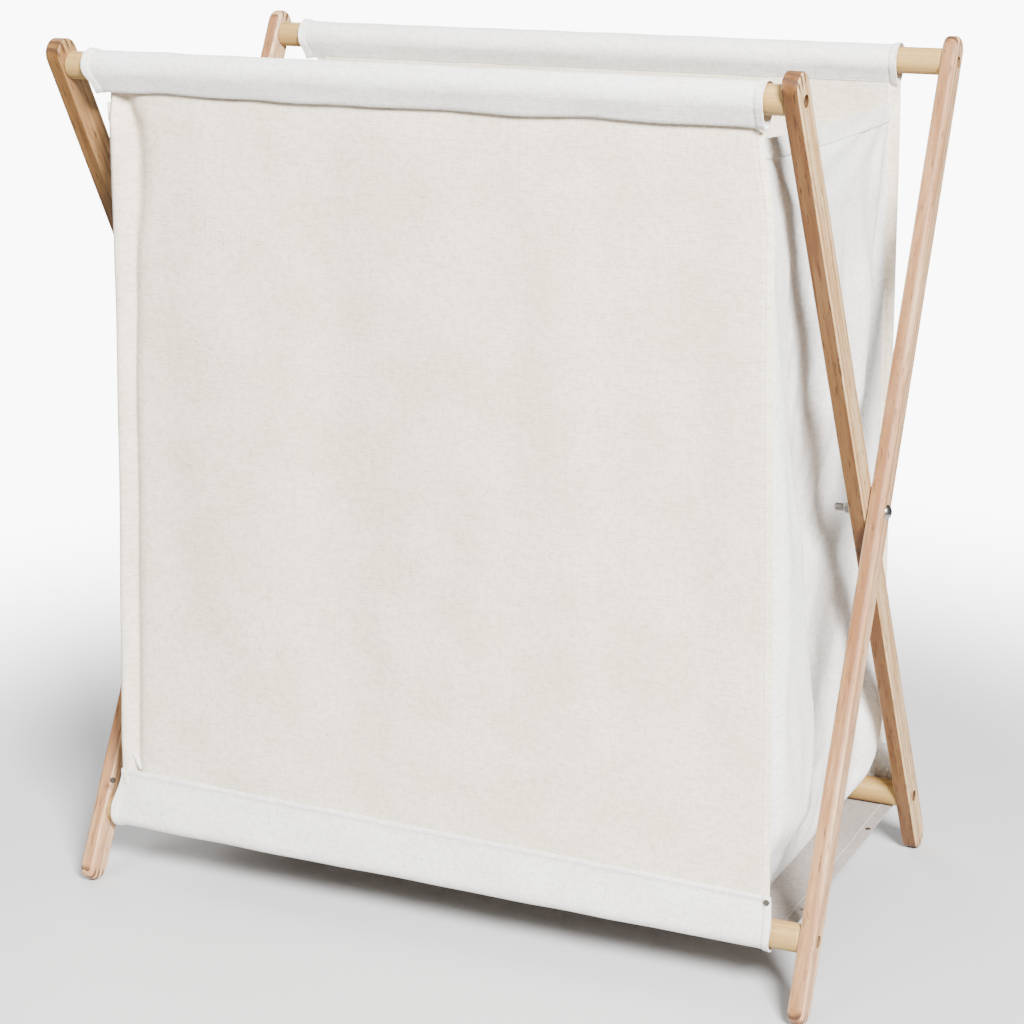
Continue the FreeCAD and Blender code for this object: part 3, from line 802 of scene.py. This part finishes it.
def loop_point(walked):
    """Point and outward direction, across and up, a walk round the loop from its inner seam."""
    if walked <= RUNS[0]:
        flat_in = Vector((math.cos(on_inner), math.sin(on_inner)))
        return INNER_SEAM.lerp(on_loop(on_inner), walked / RUNS[0]), flat_in
    walked -= RUNS[0]
    if walked <= RUNS[1]:
        angle = on_inner - walked / SLEEVE_RADIUS
        swell = 1 - 0.045 * math.exp(-((angle - CREASE) * SLEEVE_RADIUS / 0.0007) ** 2)
        return on_loop(angle) * swell, Vector((math.cos(angle), math.sin(angle)))
    walked -= RUNS[1]
    flat_out = Vector((math.cos(on_outer), math.sin(on_outer)))
    if walked <= RUNS[2]:
        return on_loop(on_outer).lerp(LIP, walked / RUNS[2]), flat_out
    share = min(1, (walked - RUNS[2]) / RUNS[3])
    below = LIP.lerp(LIP_END, share) + Vector((0, -0.0012)) * math.sin(math.pi * share)
    return below, flat_out.lerp(Vector((-0.2, -1)), share).normalized()


for where, facing in (("front", -1), ("rear", 1)):
    sleeve_low, sleeve_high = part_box(f"{where}_sleeve")
    left_end, right_end = sleeve_low.x, sleeve_high.x
    if where == "front":
        left_end, right_end = left_end + 0.002, right_end + 0.004
    sleeve_length = right_end - left_end

    def lay_sleeve(across, up, facing=facing, low=left_end, high=right_end, length=sleeve_length):
        x = low + across if facing > 0 else high - across
        place, out = loop_point(up)
        to_end = min(across, length - across)
        low_part = SLEEVE_CUT - RUNS[0] - RUNS[1] * 0.8
        lowness = ease((up - RUNS[0] - RUNS[1] * 0.8) / low_part)
        wave = wrinkle(x, 0, 0, 41 + facing, (0.055, 1, 1))
        loose = 0.0003 * wrinkle(x, up, 0, 45 + facing, (0.03, 0.012, 1)) + 0.0005 * lowness * wave
        hem = 0.0007 * (1 - ease((to_end - END_HEM + 0.0004) / 0.0008))
        hem -= 0.0004 * math.exp(-((to_end - END_HEM) / 0.0006) ** 2)
        flared = 0.0009 * (1 - ease(to_end / 0.006))
        place = place + out * (loose + hem + flared) + Vector((0, -0.0007)) * lowness * wave
        most = 0.005 if facing < 0 and x < 0 else 0.001
        drawn_in = most * ease(-place.y / 0.016) * (1 - ease(to_end / 0.025))
        inward = -1 if x > 0 else 1
        return Vector((x + inward * drawn_in, facing * (TOP_RAIL[0] + place.x), TOP_RAIL[1] + place.y))

    sleeve_columns = marks(sleeve_length, 0.005, (END_HEM, sleeve_length - END_HEM))
    crease_line = RUNS[0] + (on_inner - CREASE) * SLEEVE_RADIUS
    sleeve_rows = marks(SLEEVE_CUT, 0.0015, (crease_line, SLEEVE_CUT - RUNS[3]))
    sleeve = cut_cloth(f"{where}_top_sleeve", sleeve_columns, sleeve_rows, lay_sleeve)
    inner_row = nearest(sleeve_rows, 0.0025)
    ends = [line_on(sleeve, column=nearest(sleeve_columns, x)) for x in (END_HEM, sleeve_length - END_HEM)]
    sleeve_stitches = stitch(f"{where}_sleeve_stitches", line_on(sleeve, row=inner_row), *ends)
    thicken(sleeve, band_canvas)
    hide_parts(f"{where}_sleeve")
    for piece in (sleeve, sleeve_stitches):
        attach(piece, f"{where}_cloth")


# ---- Gussets: the bag's two side cloths, sewn to the panels and the base, hanging slack between the legs.
# Each bulges at its front edge, sinks in the middle about the pivot, and pouches at its back foot.
GUSSET_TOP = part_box("gusset_right")[1].z
GUSSET_FOOT = base_high.z + 0.0008
FOOT_X = 0.2295
FOOT_SPREAD = 0.085  # how far up the gusset widens from its foot to the panels' edges
TUCK_HEIGHT, TUCK_RISE = 0.019, 0.031  # the foot's tucked part, and the part that comes out to the seam
GUSSET_HEM = 0.0135
FOLD_PLACES = (0.0, 0.07, 0.16, 0.24, 0.31, 0.45, 0.60, 0.75, 0.88, 1.0)  # front seam to back seam
FOLDS = (  # height of a line across the gusset, and how many millimetres it stands out at each place
    (0.043, (0, 0, 0, 0, 0, 0, 0, 0, 0, 0)),
    (0.085, (0, 4, 6, 5, -5, -6, 0, 9, 20, 0)),
    (0.125, (0, 8, 12, 12, -11, -13, -4, 8, 17, 0)),
    (0.180, (0, 10, 15, 15, -15, -19, -12, 1, 5, 0)),
    (0.250, (0, 10, 15, 10, -20, -24, -18, -6, -3, 0)),
    (0.325, (0, 10, 13, -6, -23, -28, -20, -8, -8, 0)),
    (0.400, (0, 8, 7, -8, -17, -21, -8, 8, -6, 0)),
    (0.480, (0, 5, 4, -2, -9, -9, 0, 11, -3, 0)),
    (0.550, (0, 2, 2, 0, -3, -3, 1, 6, 6, 0)),
    (0.603, (0, 1, 0, -2, -3, -3, -1, 0, 1, 0)),
)


def fold_depth(share, z):
    rows = [between(FOLD_PLACES, depths, share) for _, depths in FOLDS]
    return between([height for height, _ in FOLDS], rows, z) / 1000


def settle(sheet, held, frames, reach):
    """Lets a sheet hang under its own weight from its held points, and keeps every move within reach."""
    before = [p.co.copy() for p in sheet.data.vertices]
    sheet.vertex_groups.new(name="held").add(held, 1.0, "REPLACE")
    bpy.context.view_layer.objects.active = sheet
    drape = sheet.modifiers.new("drape", "CLOTH")
    drape.settings.quality, drape.settings.mass, drape.settings.vertex_group_mass = 6, 0.02, "held"
    drape.settings.tension_stiffness = drape.settings.compression_stiffness = 25
    drape.settings.shear_stiffness, drape.settings.bending_stiffness = 12, 0.4
    drape.settings.effector_weights.gravity = 0.5
    for frame_number in range(1, frames + 1):
        bpy.context.scene.frame_set(frame_number)
    bpy.ops.object.modifier_apply(modifier="drape")
    bpy.context.scene.frame_set(1)
    for point, old in zip(sheet.data.vertices, before):
        moved = point.co - old
        if moved.length > reach:
            point.co = old + moved * (reach / moved.length)
    sheet.data.update()


GUSSET_WIDTH, GUSSET_HEIGHT = 0.296, GUSSET_TOP - GUSSET_FOOT
SETTLE_FRAMES, SETTLE_REACH = 14, 0.006
for name, side, front_edge, rear_edge, seed in (("right", 1, front_right, rear_right, 51),
                                                ("left", -1, front_left, rear_left, 57)):
    def lay_gusset(across, up, side=side, front_edge=front_edge, rear_edge=rear_edge, seed=seed):
        share = across / GUSSET_WIDTH if side > 0 else 1 - across / GUSSET_WIDTH
        z = GUSSET_FOOT + up
        rise = min(1, max(0, (up - TUCK_HEIGHT) / TUCK_RISE))
        tuck = 0.100 + 0.003 * min(1, up / TUCK_HEIGHT)
        back = panel_y(max(z, SEAM_Z)) - 0.0014
        y_front = -(tuck + (back - tuck) * rise)
        y_rear = tuck + (back - 0.0006 - tuck) * rise
        spread_out = ease(up / FOOT_SPREAD) * 0.55 + min(1, up / FOOT_SPREAD) * 0.45
        x_front = FOOT_X + (front_edge(z) - 0.003 - FOOT_X) * spread_out
        x_rear = FOOT_X + (rear_edge(z) - FLANGE - FOOT_X) * spread_out
        x = x_front + (x_rear - x_front) * share + fold_depth(share, z)
        if side < 0:
            x += 0.017 * math.exp(-((share - 0.07) / 0.05) ** 2) * ease((z - 0.36) / 0.2)
        inner = ease(share / 0.06) * ease((1 - share) / 0.06) * ease(up / 0.03)
        x += 0.0011 * wrinkle(across, 0, z, seed, (0.03, 1, 0.12)) * inner
        x += 0.0005 * wrinkle(across, 0, z, seed + 2, (0.012, 1, 0.05)) * inner
        y = y_front + (y_rear - y_front) * share
        slope = 0.0035 * (1 - 2 * share) - 0.002 * math.sin(math.pi * share)
        return Vector((side * x, y, z + slope * ease(up / GUSSET_HEIGHT)))

    gusset_columns = marks(GUSSET_WIDTH, 0.004)
    gusset_rows = marks(GUSSET_HEIGHT, 0.0042, (GUSSET_HEIGHT - GUSSET_HEM,))
    gusset = cut_cloth(f"gusset_cloth_{name}", gusset_columns, gusset_rows, lay_gusset)
    wide, high = gusset["grid"]
    foot_points = set(range(wide))
    seam_points = {j * wide + i for j in range(high) for i in (0, wide - 1)}
    settle(gusset, sorted(foot_points | seam_points), SETTLE_FRAMES, SETTLE_REACH)
    hem_row = nearest(gusset_rows, GUSSET_HEIGHT - GUSSET_HEM)
    hem_face = {(j, i): gusset.data.vertices[j * wide + i]
                for j in range(hem_row, high) for i in range(wide)}
    lifts = {key: p.normal.copy() for key, p in hem_face.items()}
    for (j, i), point in hem_face.items():
        point.co += lifts[(j, i)] * CLOTH * (0.2 if j == hem_row else 0.9)
    gusset.data.update()
    gusset_stitches = stitch(f"gusset_stitches_{name}", line_on(gusset, row=hem_row + 1))
    thicken(gusset, band_canvas)
    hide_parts(f"gusset_{name}", f"gusset_hem_{name}")
    gather(gusset)
    gather(gusset_stitches)
